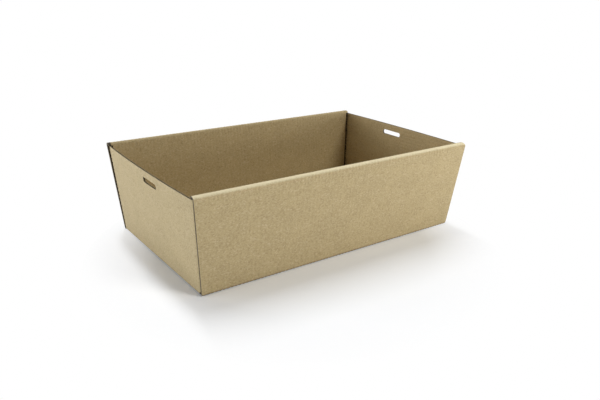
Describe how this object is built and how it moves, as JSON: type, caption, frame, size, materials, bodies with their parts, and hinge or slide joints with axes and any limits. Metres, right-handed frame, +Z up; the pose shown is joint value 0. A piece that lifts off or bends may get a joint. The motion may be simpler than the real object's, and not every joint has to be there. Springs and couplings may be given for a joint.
{
  "type": "cardboard tray box",
  "caption": "Open shallow tray box folded from a sheet of kraft corrugated board, with leaning walls, rolled rims on its doubled long sides and a hand slot in each end.",
  "frame": {"origin": "middle of the underside, on the surface that the tray stands on", "axes": "+X along the length, +Y across the width, +Z up out of the open top"},
  "size_m": [0.272, 0.1692, 0.08],
  "materials": {
    "kraft_board": "matte"
  },
  "bodies": {
    "root": {"tray": "kraft_board"}
  },
  "joints": []
}
